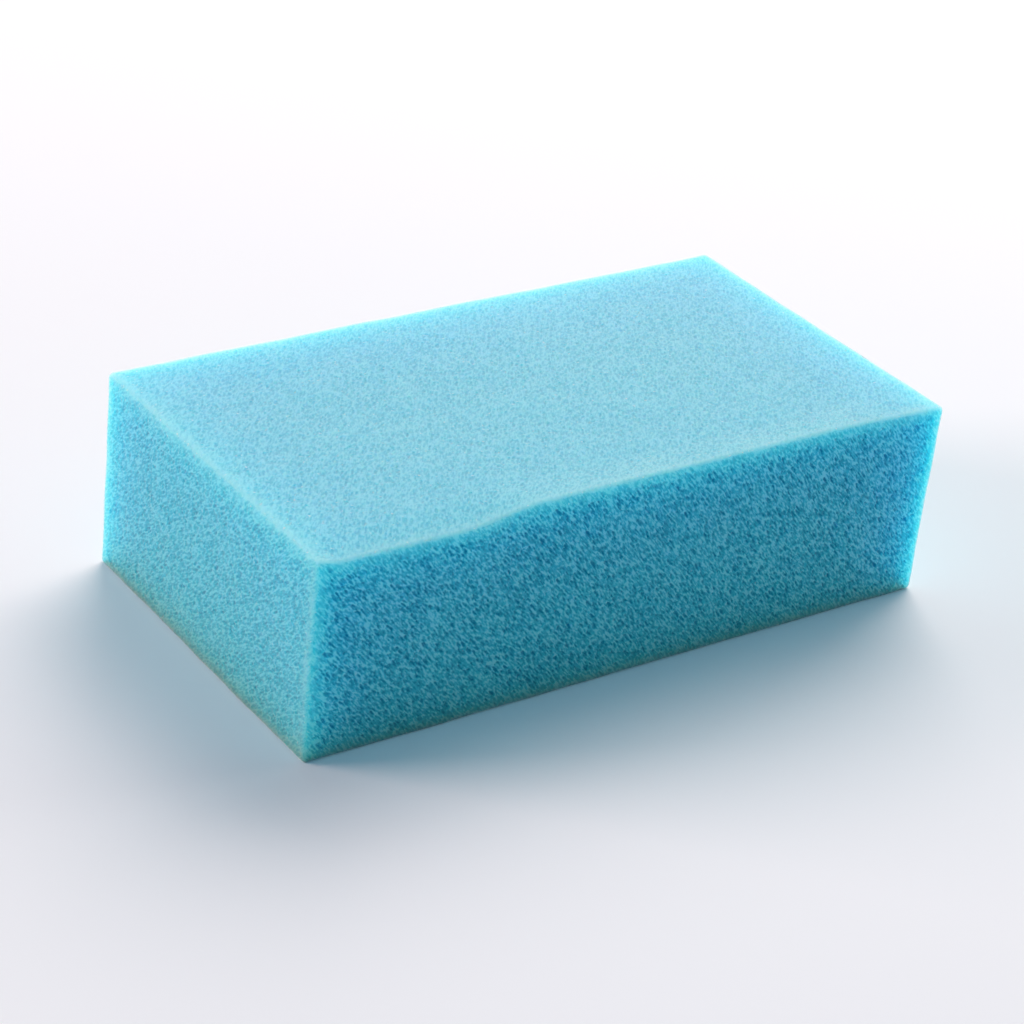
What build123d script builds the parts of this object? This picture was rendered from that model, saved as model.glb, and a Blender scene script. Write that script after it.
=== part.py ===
from build123d import *
import os

# Block of open-cell filter foam for a pond or aquarium filter, cut from a larger slab.
# Millimetres. +X runs along the length, +Y across the width and +Z up through the
# thickness. The origin is the centre of the bottom face, which the block rests on.

LENGTH = 200.0
WIDTH = 108.0
THICKNESS = 58.0
EDGE_RADIUS = 1.5  # a knife-cut edge of soft foam is never quite sharp


def foam_block():
    """The whole block: six flat cut faces that meet in slightly rounded edges."""
    block = Box(
        LENGTH,
        WIDTH,
        THICKNESS,
        align=(Align.CENTER, Align.CENTER, Align.MIN),
    )
    return fillet(block.edges(), EDGE_RADIUS)


PARTS = {
    "foam_block": foam_block(),
}

os.makedirs("parts", exist_ok=True)
for name, solid in PARTS.items():
    export_step(solid, f"parts/{name}.step")
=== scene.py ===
import math

import bpy
import numpy as np
from mathutils import Matrix, Vector


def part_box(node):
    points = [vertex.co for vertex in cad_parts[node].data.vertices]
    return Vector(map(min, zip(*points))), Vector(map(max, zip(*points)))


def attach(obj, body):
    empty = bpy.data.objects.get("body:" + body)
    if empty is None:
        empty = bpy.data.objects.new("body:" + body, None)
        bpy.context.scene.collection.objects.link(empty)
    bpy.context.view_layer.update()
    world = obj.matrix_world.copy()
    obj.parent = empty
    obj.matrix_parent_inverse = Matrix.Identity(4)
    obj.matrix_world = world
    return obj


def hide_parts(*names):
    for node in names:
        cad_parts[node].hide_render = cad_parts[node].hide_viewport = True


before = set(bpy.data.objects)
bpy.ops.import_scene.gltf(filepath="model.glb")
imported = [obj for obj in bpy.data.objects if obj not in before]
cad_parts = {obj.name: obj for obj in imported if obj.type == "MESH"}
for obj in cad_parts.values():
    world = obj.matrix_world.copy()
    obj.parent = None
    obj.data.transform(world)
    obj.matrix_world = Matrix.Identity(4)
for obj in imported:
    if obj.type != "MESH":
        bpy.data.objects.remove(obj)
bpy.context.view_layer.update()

# A block of open-cell filter foam, lying on a pale studio floor. Its shape is worked out in
# millimetres, in the frame of the CAD part: +X along the length, +Y across, +Z up, origin
# at the centre of the bottom face. Everything handed to Blender is in metres.

MM = 0.001
BLOCK_LOW, BLOCK_HIGH = (np.array(corner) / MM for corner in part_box("foam_block"))
BLOCK_SIZE = BLOCK_HIGH - BLOCK_LOW
BLOCK_CENTRE = (BLOCK_HIGH + BLOCK_LOW) / 2

# The mesh: a lattice of points over the six faces, this far apart, and the radius of the
# block's edges.
GRID = 0.34
EDGE_RADIUS = 1.3

# The foam's cells: a jittered body-centred lattice, turned so that no face lies along its
# layers. Cutting the block drew the cells out on each face, in a direction of that face's
# own, and opened them more on some faces than on others. Both are given for the faces that
# lie across X, across Y and across Z.
CELL = 1.1
CELL_JITTER = 0.9
CELL_STRETCH = 3.0
DRAWN_OUT = (Vector((0, 0.77, -0.64)), Vector((0.64, 0, -0.77)), Vector((0.62, 0.79, 0)))
OPENED = (0.58, 0.88, 0.3)
LATTICE_TURN = Matrix.Rotation(0.7, 3, Vector((0.3, 0.8, 0.5)).normalized())
JITTER_PERIOD = 64
SEED = 64

# Further than any point of the lattice is from its nearest cells, in lattice units, the
# smallest number that anything is divided by, and how many points are worked out at once.
FAR = 9.0
TINY = 1e-6
CHUNK = 40_000

# Along its edges a face's cells are this much less open, over this width.
CLOSED_AT_EDGE = 0.6
CLOSED_BAND = 5.0

# How deep the cut opens the cells, in millimetres, as far as the bottom of a ball this large
# in cells, and the least part of its depth that a cell's own luck leaves its pit.
MAX_PIT = 0.5
MIN_PIT = 0.15
BOWL = 0.52
LEAST_OPEN = 0.5

# How far the walls between the pits sag, within what distance of their struts, and how far
# the struts stand above the block's nominal face.
WALL_SAG = 0.2
WALL_SAG_REACH = 0.3
SKIN_LIFT = 0.15

# How the cut wandered along the top edge of the front face: left of the kink the edge
# stands out and hangs, right of it the edge falls back and rises. KINK_AT, KINK_LENGTH and
# KINK_FADES, at the left and right ends, are shares of the block's length.
KINK_AT = 0.27
KINK_LENGTH = 0.12
KINK_FADES = (0.03, 0.2)
KINK_OUT = 1.0
KINK_RISE = 0.7
KINK_DEPTH = 30.0
KINK_INLAND = 14.0

# The cut's other waves, in every direction: how many, how long and how high.
WAVES = 24
WAVE_LENGTHS = (14.0, 60.0)
WAVE_HEIGHT = 0.12

# The room between the faces in the map that they are laid out in.
MAP_GAP = 4.0

# The width of the painted highlight, a paler band along the rims of the top and of the right
# end.
RIM_HIGHLIGHT_BAND = 2.0


# ---------------------------------------------------------------- cells of the foam


def cell_space(drawn_out):
    """The matrix that takes a point in millimetres to the lattice space of cells that are
    drawn out in a direction."""
    along = np.array(drawn_out.normalized())
    squeeze = np.eye(3) + (1 / CELL_STRETCH - 1) * np.outer(along, along)
    return np.array(LATTICE_TURN) @ squeeze / CELL


RANDOM = np.random.default_rng(SEED)
JITTER = RANDOM.random((JITTER_PERIOD,) * 3 + (2, 4))


def nearest_cells(points):
    """For points in lattice space: the distances to the three nearest cell centres, the
    centres of the two nearest, and a random number of the nearest cell's own."""
    count = len(points)
    dist = np.full((3, count), FAR)
    centre = np.zeros((2, count, 3))
    luck = np.zeros(count)
    for layer, start in enumerate((np.rint(points), np.floor(points))):
        start = start.astype(int)
        for step in np.ndindex(3, 3, 3):
            node = start + np.array(step) - 1
            i, j, k = (node % JITTER_PERIOD).T
            noise = JITTER[i, j, k, layer]
            seed = node + layer / 2 + (noise[:, :3] - 0.5) * CELL_JITTER
            d = np.linalg.norm(points - seed, axis=1)
            first = d < dist[0]
            second = d < dist[1]
            dist[2] = np.where(second, dist[1], np.minimum(dist[2], d))
            dist[1] = np.where(first, dist[0], np.minimum(dist[1], d))
            centre[1][second] = seed[second]
            centre[1][first] = centre[0][first]
            dist[0][first] = d[first]
            centre[0][first] = seed[first]
            luck[first] = noise[first, 3]
    return dist, centre, luck


def nearest_cells_in_chunks(points):
    """What nearest_cells gives for all the points, worked out a chunk at a time."""
    starts = range(0, len(points), CHUNK)
    parts = [nearest_cells(points[start : start + CHUNK]) for start in starts]
    dist, centre, luck = zip(*parts)
    return np.concatenate(dist, 1), np.concatenate(centre, 1), np.concatenate(luck)


# ---------------------------------------------------------------- the block's skin

# Each face by the axis it lies across and its side, 0 for low and 1 for high.
FACES = [(axis, side) for axis in range(3) for side in (0, 1)]


def face_lattice():
    """Lattice points over the block's six faces, measured from its low corner, the points
    at the four corners of each lattice square, in the order that turns it to face out, and
    the face that each square is on, as its place in FACES."""
    steps = np.maximum(np.rint(BLOCK_SIZE / GRID).astype(int), 1)
    corners, faces = [], []
    for axis, side in FACES:
        u, v = (axis + 1) % 3, (axis + 2) % 3
        a, b = np.meshgrid(np.arange(steps[u]), np.arange(steps[v]), indexing="ij")
        a, b = a.ravel(), b.ravel()
        square = np.zeros((4, len(a), 3), int)
        square[..., axis] = side * steps[axis]
        for n, (du, dv) in enumerate(((0, 0), (1, 0), (1, 1), (0, 1))):
            square[n, :, u] = a + du
            square[n, :, v] = b + dv
        corners.append(square if side else square[::-1])
        faces.append(np.full(len(a), FACES.index((axis, side))))
    corners = np.concatenate(corners, 1)
    span = steps.max() + 1
    keys = (corners[..., 0] * span + corners[..., 1]) * span + corners[..., 2]
    unique, where = np.unique(keys, return_inverse=True)
    nodes = np.stack([unique // span**2, unique // span % span, unique % span], 1)
    return nodes / steps * BLOCK_SIZE, where.reshape(keys.shape).T, np.concatenate(faces)


def smooth(value):
    """A smooth step from 0 at 0 to 1 at 1."""
    value = np.clip(value, 0, 1)
    return value * value * (3 - 2 * value)


def rounded(points):
    """The nearest points on the block with its edges rounded, and the normals there."""
    half = BLOCK_SIZE / 2 - EDGE_RADIUS
    core = np.clip(points - BLOCK_CENTRE, -half, half)
    out = points - BLOCK_CENTRE - core
    normal = out / np.linalg.norm(out, axis=1, keepdims=True)
    return BLOCK_CENTRE + core + EDGE_RADIUS * normal, normal


def inset(points):
    """How far points on a face lie from its nearest edge."""
    return np.sort(BLOCK_SIZE / 2 - np.abs(points - BLOCK_CENTRE), axis=1)[:, 1]


def painted_rim_highlight(points):
    """How strong the painted highlight is: 1 on the rims of the top and of the right end, 0
    beyond the band along them."""
    off_rim = (BLOCK_HIGH - points)[:, [0, 2]].min(axis=1)
    return (1 - smooth(inset(points) / RIM_HIGHLIGHT_BAND)) * (1 - smooth(off_rim / RIM_HIGHLIGHT_BAND))


def openness(points, facing):
    """How far the cut opened the cells of the face across each point's axis: less along
    the edges, where the wire closed them up."""
    closed = CLOSED_AT_EDGE * (1 - smooth(inset(points) / CLOSED_BAND))
    return np.array(OPENED)[facing] * (1 - closed)


def kink(points):
    """How far the wire strayed from the flat where it cut the top edge of the front."""
    along = (points[:, 0] - BLOCK_LOW[0]) / BLOCK_SIZE[0]
    down = (BLOCK_HIGH[2] - points[:, 2]) / KINK_DEPTH
    inland = (points[:, 1] - BLOCK_LOW[1]) / KINK_INLAND
    side = 1 - 2 * smooth((along - KINK_AT) / KINK_LENGTH + 0.5)
    side = side * smooth(along / KINK_FADES[0]) * smooth((1 - along) / KINK_FADES[1])
    side = side * (1 - smooth(down)) * (1 - smooth(inland))
    return np.stack([np.zeros_like(side), -KINK_OUT * side, -KINK_RISE * side], 1)


def waves(points):
    """The height of the cut's gentle waves, a sum of plane waves in random directions."""
    height = np.zeros(len(points))
    for length in np.geomspace(*WAVE_LENGTHS, WAVES):
        direction = RANDOM.normal(size=3)
        direction *= math.tau / length / np.linalg.norm(direction)
        height += np.sin(points @ direction + RANDOM.random() * math.tau)
    return height * WAVE_HEIGHT / math.sqrt(WAVES)


def onto_walls(points, normal, to_cells):
    """Slides the points that are nearly on a wall between two cells onto it, so that the
    mesh's edges run along the walls. Gives all the points, which are on a wall, and what
    nearest_cells gives for each."""
    dist, centre, luck = nearest_cells_in_chunks(points @ to_cells.T)
    between = centre[1] - centre[0]
    apart = np.linalg.norm(between, axis=1)
    gap = (dist[1] ** 2 - dist[0] ** 2) / (2 * apart)
    pull = (between / apart[:, None]) @ to_cells
    pull -= normal * (pull * normal).sum(1, keepdims=True)
    strength = np.linalg.norm(pull, axis=1)
    reach = gap / np.maximum(strength, TINY)
    on_wall = reach < GRID / 2
    slide = pull * (reach / np.maximum(strength, TINY))[:, None]
    moved = np.where(on_wall[:, None], points + slide, points)
    return moved, on_wall, dist, centre, luck


def pit_depth(points, normal, to_cells, on_wall, dist, centre, luck):
    """How deep each point lies below the cut: on a wall, only as far as the wall sags
    between its struts, and elsewhere as deep as the cell that the cut opened."""
    cell = centre[0] @ np.linalg.inv(to_cells).T
    to_centre = cell - points
    below = -(to_centre * normal).sum(1)
    aside = np.linalg.norm((to_centre + normal * below[:, None]) @ to_cells.T, axis=1)
    bowl = below + CELL * np.sqrt(np.maximum(BOWL**2 - aside**2, 0))
    pit = np.clip(bowl, MIN_PIT, MAX_PIT) * (LEAST_OPEN + (1 - LEAST_OPEN) * luck)
    from_strut = (dist[2] - (dist[0] + dist[1]) / 2) * CELL
    sag = WALL_SAG * smooth(from_strut / WALL_SAG_REACH)
    return np.where(on_wall, sag, pit)


def opened_cells(points):
    """Slides points over the skin onto the walls of the cells that each face cuts. Gives
    their places, the normals there, how deep they lie below the cut, how far the cut opened
    their face's cells, and their places in the cells' lattice."""
    skin, normal = rounded(points)
    facing = np.argmax(np.abs(normal), axis=1)
    opened = openness(skin, facing)
    depth = np.zeros(len(points))
    grain = np.zeros((len(points), 3))
    for axis, drawn_out in enumerate(DRAWN_OUT):
        to_cells = cell_space(drawn_out)
        here = facing == axis
        slid, *cells = onto_walls(skin[here], normal[here], to_cells)
        slid, normal[here] = rounded(slid)
        depth[here] = pit_depth(slid, normal[here], to_cells, *cells) * opened[here]
        skin[here] = slid
        grain[here] = slid @ to_cells.T
    return skin, normal, depth, opened, grain


def triangles(squares, height):
    """Two triangles for each lattice square, split along the diagonal whose lower end is
    the higher one."""
    corner = height[squares]
    first = np.minimum(corner[:, 0], corner[:, 2]) > np.minimum(corner[:, 1], corner[:, 3])
    a, b, c, d = squares.T
    one = np.where(first[:, None], np.stack([a, b, c], 1), np.stack([a, b, d], 1))
    two = np.where(first[:, None], np.stack([a, c, d], 1), np.stack([b, c, d], 1))
    return np.concatenate([one, two])


def add_values(mesh, name, values):
    """Keeps a number or a vector for each of the mesh's points, for its material to read."""
    kind, field = ("FLOAT", "value") if values.ndim == 1 else ("FLOAT_VECTOR", "vector")
    attribute = mesh.attributes.new(name, kind, "POINT")
    attribute.data.foreach_set(field, values.astype(np.float32).ravel())


def flat_map(places, faces, face_of):
    """A map with the six faces laid out side by side at one scale, for baked pictures: the
    spot of each triangle's corners."""
    length, width, height = BLOCK_SIZE + MAP_GAP
    corners = [(0, 2 * width), (width, 2 * width), (length, 0), (length + height, 0)]
    corners = np.array(corners + [(0, 0), (0, width)])
    across = (np.array(FACES)[face_of, 0, None, None] + (1, 2)) % 3
    spot = np.take_along_axis(places[faces], across, 2) + MAP_GAP / 2
    return (spot + corners[face_of][:, None]) / (length + 2 * height)


def foam_mesh():
    """The block's skin with its cells, and the values that the material reads."""
    places, squares, face_of = face_lattice()
    skin, normal, depth, opened, grain = opened_cells(BLOCK_LOW + places)
    height = SKIN_LIFT + waves(skin) - depth
    points = skin + kink(skin) + normal * height[:, None]
    points[:, 2] = np.maximum(points[:, 2], BLOCK_LOW[2])
    faces = triangles(squares, -depth)

    mesh = bpy.data.meshes.new("foam_block_cells")
    mesh.vertices.add(len(points))
    mesh.vertices.foreach_set("co", (points * MM).astype(np.float32).ravel())
    mesh.loops.add(faces.size)
    mesh.loops.foreach_set("vertex_index", faces.astype(np.int32).ravel())
    mesh.polygons.add(len(faces))
    mesh.polygons.foreach_set("loop_start", np.arange(0, faces.size, 3, dtype=np.int32))
    mesh.update(calc_edges=True)
    mesh.polygons.foreach_set("use_smooth", np.ones(len(faces), bool))
    spots = flat_map(places, faces, np.tile(face_of, 2))
    layer = mesh.uv_layers.new(name="OFBake")
    layer.uv.foreach_set("vector", spots.astype(np.float32).ravel())
    add_values(mesh, "pit", depth / MAX_PIT)
    add_values(mesh, "opened", opened)
    # How strong the painted highlight is along the rims of the top and of the right end, for
    # the material.
    add_values(mesh, "painted_rim_highlight", painted_rim_highlight(skin))
    add_values(mesh, "grain", grain)
    mesh.validate()
    return mesh


# ---------------------------------------------------------------- materials


# The foam's colour on the tops of its struts, and painted shade below them: darker a little
# way down on the cut walls and darkest at the bottom of the cells. The walls' depth is a
# share of the deepest.
STRUT_COLOUR = (0.13, 0.66, 0.76, 1)
WALL_SHADE_COLOUR = (0.03, 0.53, 0.66, 1)
WALL_STOP = 0.2
CELL_SHADE_COLOUR = (0.002, 0.22, 0.36, 1)

# A painted highlight on the rims of the top and of the right end: its paler colour, and how
# much of it they have.
RIM_HIGHLIGHT_COLOUR = (0.42, 0.74, 0.77, 1)
RIM_HIGHLIGHT_STRENGTH = 0.42

# The gloss of its struts, which is lost down in the cells, and its roughness, which varies
# between two values.
FOAM_SPECULAR = 0.38
FOAM_ROUGHNESS = (0.6, 0.8)

# The fuzz of frayed struts: full on a closed skin, and how much of it open cells lose.
FUZZ_LOST = 0.85
FUZZ_ROUGHNESS = 0.5
FUZZ_TINT = (1.0, 0.85, 0.8, 1)

# How far light goes through the foam: a distance for blue, and red's, green's and blue's
# shares of it.
SCATTER_WEIGHT = 1.0
SCATTER_SCALE = 52.0
SCATTER_RADIUS = (0.25, 0.7, 1.0)

# Noise in cell sizes: streaks and mottles that change how deep the foam looks, and so how
# dark its painted shade is, and fibres that roughen it by a height in millimetres. Each has
# a size, a detail and a roughness.
STREAK_NOISE = (0.45, 1.0, 0.5)
STREAK_DEPTH = 2.4
MOTTLE_NOISE = (3.0, 2.0, 0.6)
MOTTLE_DEPTH = 0.2
FIBRE_NOISE = (0.3, 2.0, 0.6)
FIBRE_HEIGHT = 0.12
FIBRE_STRENGTH = 0.4


def add_node(tree, kind, **values):
    """Adds a node and sets its inputs, named with underscores for spaces."""
    node = tree.nodes.new("ShaderNode" + kind)
    for name, value in values.items():
        node.inputs[name.replace("_", " ")].default_value = value
    return node


def attribute_node(tree, name):
    """The output that gives a number kept for the mesh's points."""
    node = add_node(tree, "Attribute")
    node.attribute_name = name
    return node.outputs["Fac"]


def maths(tree, operation, first, second):
    """A maths node: first and second are outputs of other nodes, or numbers."""
    node = add_node(tree, "Math")
    node.operation = operation
    for socket, value in zip(node.inputs, (first, second)):
        if isinstance(value, (int, float)):
            socket.default_value = value
        else:
            tree.links.new(value, socket)
    return node.outputs[0]


def grain_noise(tree, place, values):
    """Noise about 0.5 with features of a size in cells."""
    size, detail, rough = values
    noise = add_node(tree, "TexNoise", Scale=1 / size, Detail=detail, Roughness=rough)
    tree.links.new(place, noise.inputs["Vector"])
    return noise.outputs["Fac"]


def mixed(tree, share, first, second):
    """A colour mixed from two; each is a colour or the output of another node."""
    node = tree.nodes.new("ShaderNodeMix")
    node.data_type = "RGBA"
    tree.links.new(share, node.inputs["Factor"])
    colours = [socket for socket in node.inputs if socket.type == "RGBA"]
    for socket, value in zip(colours, (first, second)):
        if isinstance(value, tuple):
            socket.default_value = value
        else:
            tree.links.new(value, socket)
    return next(socket for socket in node.outputs if socket.type == "RGBA")


def foam_depth(tree, streak, mottle):
    """How deep in the cells a point looks: 0 on a strut, 1 at the bottom of a cell."""
    drift = maths(tree, "MULTIPLY", maths(tree, "SUBTRACT", streak, 0.5), STREAK_DEPTH)
    patch = maths(tree, "MULTIPLY", maths(tree, "SUBTRACT", mottle, 0.5), MOTTLE_DEPTH)
    change = maths(tree, "ADD", drift, patch)
    change = maths(tree, "MULTIPLY", change, attribute_node(tree, "opened"))
    depth = maths(tree, "ADD", attribute_node(tree, "pit"), change)
    depth.node.use_clamp = True
    return depth


def foam_colour(tree, depth):
    """Painted shade, darker and deeper blue down in the cells and lighter on struts, and a
    painted highlight, palest on the rims.
    """
    ramp = add_node(tree, "ValToRGB")
    stops = ramp.color_ramp.elements
    # Painted shade: the colour darkens from the struts down the walls to the bottom of the
    # cells.
    stops[0].position, stops[0].color = 0.0, STRUT_COLOUR
    stops[1].position, stops[1].color = 1.0, CELL_SHADE_COLOUR
    stops.new(WALL_STOP).color = WALL_SHADE_COLOUR
    tree.links.new(depth, ramp.inputs["Fac"])
    # A painted highlight: the high points along the rims of the top and of the right end are
    # made paler.
    high = maths(tree, "SUBTRACT", 1.0, depth)
    rim_highlight_share = maths(tree, "MULTIPLY", attribute_node(tree, "painted_rim_highlight"), RIM_HIGHLIGHT_STRENGTH)
    rim_highlight_share = maths(tree, "MULTIPLY", rim_highlight_share, high)
    return mixed(tree, rim_highlight_share, ramp.outputs["Color"], RIM_HIGHLIGHT_COLOUR)


def foam_material():
    """Foam that light goes through, with matte cells and frayed struts."""
    material = bpy.data.materials.new("filter_foam")
    material.use_nodes = True
    tree = material.node_tree
    shader = tree.nodes["Principled BSDF"]
    shader.inputs["Sheen Roughness"].default_value = FUZZ_ROUGHNESS
    shader.inputs["Sheen Tint"].default_value = FUZZ_TINT
    shader.inputs["Subsurface Weight"].default_value = SCATTER_WEIGHT
    shader.inputs["Subsurface Radius"].default_value = SCATTER_RADIUS
    shader.inputs["Subsurface Scale"].default_value = SCATTER_SCALE * MM

    grain = add_node(tree, "Attribute")
    grain.attribute_name = "grain"
    place = grain.outputs["Vector"]
    streak = grain_noise(tree, place, STREAK_NOISE)
    mottle = grain_noise(tree, place, MOTTLE_NOISE)
    fibre = grain_noise(tree, place, FIBRE_NOISE)
    depth = foam_depth(tree, streak, mottle)
    tree.links.new(foam_colour(tree, depth), shader.inputs["Base Color"])

    gloss = maths(tree, "MULTIPLY", maths(tree, "SUBTRACT", 1.0, depth), FOAM_SPECULAR)
    tree.links.new(gloss, shader.inputs["Specular IOR Level"])
    bare = maths(tree, "MULTIPLY", attribute_node(tree, "opened"), FUZZ_LOST)
    fuzz = maths(tree, "SUBTRACT", 1.0, bare)
    tree.links.new(fuzz, shader.inputs["Sheen Weight"])

    low, high = FOAM_ROUGHNESS
    rough = maths(tree, "ADD", maths(tree, "MULTIPLY", streak, high - low), low)
    tree.links.new(rough, shader.inputs["Roughness"])
    bump = add_node(tree, "Bump", Strength=FIBRE_STRENGTH, Distance=FIBRE_HEIGHT * MM)
    tree.links.new(fibre, bump.inputs["Height"])
    tree.links.new(bump.outputs["Normal"], shader.inputs["Normal"])
    return material


# A pale matte floor, its size in metres.
FLOOR_SIZE = 12.0
FLOOR_COLOUR = (0.93, 0.95, 0.93, 1)
FLOOR_ROUGHNESS = 0.9


def floor_material():
    material = bpy.data.materials.new("studio_floor")
    material.use_nodes = True
    shader = material.node_tree.nodes["Principled BSDF"]
    shader.inputs["Base Color"].default_value = FLOOR_COLOUR
    shader.inputs["Roughness"].default_value = FLOOR_ROUGHNESS
    return material


# ---------------------------------------------------------------- pieces


def add_foam():
    """The block, which stands for the plain CAD block."""
    block = bpy.data.objects.new("foam", foam_mesh())
    bpy.context.scene.collection.objects.link(block)
    block.data.materials.append(foam_material())
    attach(block, "root")
    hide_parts("foam_block")


def add_floor():
    bpy.ops.mesh.primitive_plane_add(size=FLOOR_SIZE)
    floor = bpy.context.object
    floor.name = "floor"
    floor.data.materials.append(floor_material())


# ---------------------------------------------------------------- camera and light

# The photograph's view, fitted to the corners of the block. The distance and the aim are
# in lengths of the block, the lens and the sensor in millimetres.
CAMERA_AZIMUTH = math.radians(-37.47)
CAMERA_ELEVATION = math.radians(29.14)
CAMERA_ROLL = math.radians(6.54)
CAMERA_DISTANCE = 3.96
CAMERA_AIM = Vector((0.0165, 0.041, 0.076))
CAMERA_LENS = 100.0
CAMERA_SENSOR = 36.0


def add_camera():
    length = BLOCK_SIZE[0] * MM
    camera = bpy.data.objects.new("camera", bpy.data.cameras.new("camera"))
    bpy.context.scene.collection.objects.link(camera)
    bpy.context.scene.camera = camera
    camera.data.lens = CAMERA_LENS
    camera.data.sensor_width = CAMERA_SENSOR
    level = math.cos(CAMERA_ELEVATION)
    back = Vector(
        (
            math.sin(CAMERA_AZIMUTH) * level,
            -math.cos(CAMERA_AZIMUTH) * level,
            math.sin(CAMERA_ELEVATION),
        )
    )
    place = (CAMERA_AIM + back * CAMERA_DISTANCE) * length
    turn = back.to_track_quat("Z", "Y").to_matrix() @ Matrix.Rotation(CAMERA_ROLL, 3, "Z")
    camera.matrix_world = Matrix.Translation(place) @ turn.to_4x4()


# The soft boxes: the name of each, the direction it shines from, its size in metres, its
# power in watts and its colour. They hang at one distance from the block, in metres. The one
# behind is the main light; the one in front only lifts the shadow.
LIGHT_DISTANCE = 3.0
LIGHTS = (
    ("right", (1.0, -0.1, 0.3), 1.2, 16.0, (0.85, 1.0, 1.0)),
    ("back", (0.6, 0.5, 0.75), 2.4, 92.0, (1.0, 0.87, 0.85)),
    ("left", (-0.8, 0.5, 0.3), 1.4, 64.0, (1.0, 0.72, 0.7)),
    ("front", (0.1, -1.0, 0.15), 1.4, 5.0, (0.6, 0.95, 1.0)),
)

# The pale blue light of the room.
WORLD_COLOUR = (0.42, 0.72, 1.0, 1)
WORLD_STRENGTH = 0.3


def add_light(name, direction, size, power, colour):
    """A square soft box that shines at the block from a direction."""
    light = bpy.data.lights.new(name, "AREA")
    light.size = size
    light.energy = power
    light.color = colour
    lamp = bpy.data.objects.new(name, light)
    bpy.context.scene.collection.objects.link(lamp)
    away = Vector(direction).normalized()
    lamp.location = away * LIGHT_DISTANCE
    lamp.rotation_euler = away.to_track_quat("Z", "Y").to_euler()


def add_studio():
    world = bpy.data.worlds.new("studio")
    bpy.context.scene.world = world
    world.use_nodes = True
    background = world.node_tree.nodes["Background"]
    background.inputs["Color"].default_value = WORLD_COLOUR
    background.inputs["Strength"].default_value = WORLD_STRENGTH
    for light in LIGHTS:
        add_light(*light)


bpy.context.scene.view_settings.view_transform = "Standard"
add_foam()
add_floor()
add_studio()
add_camera()
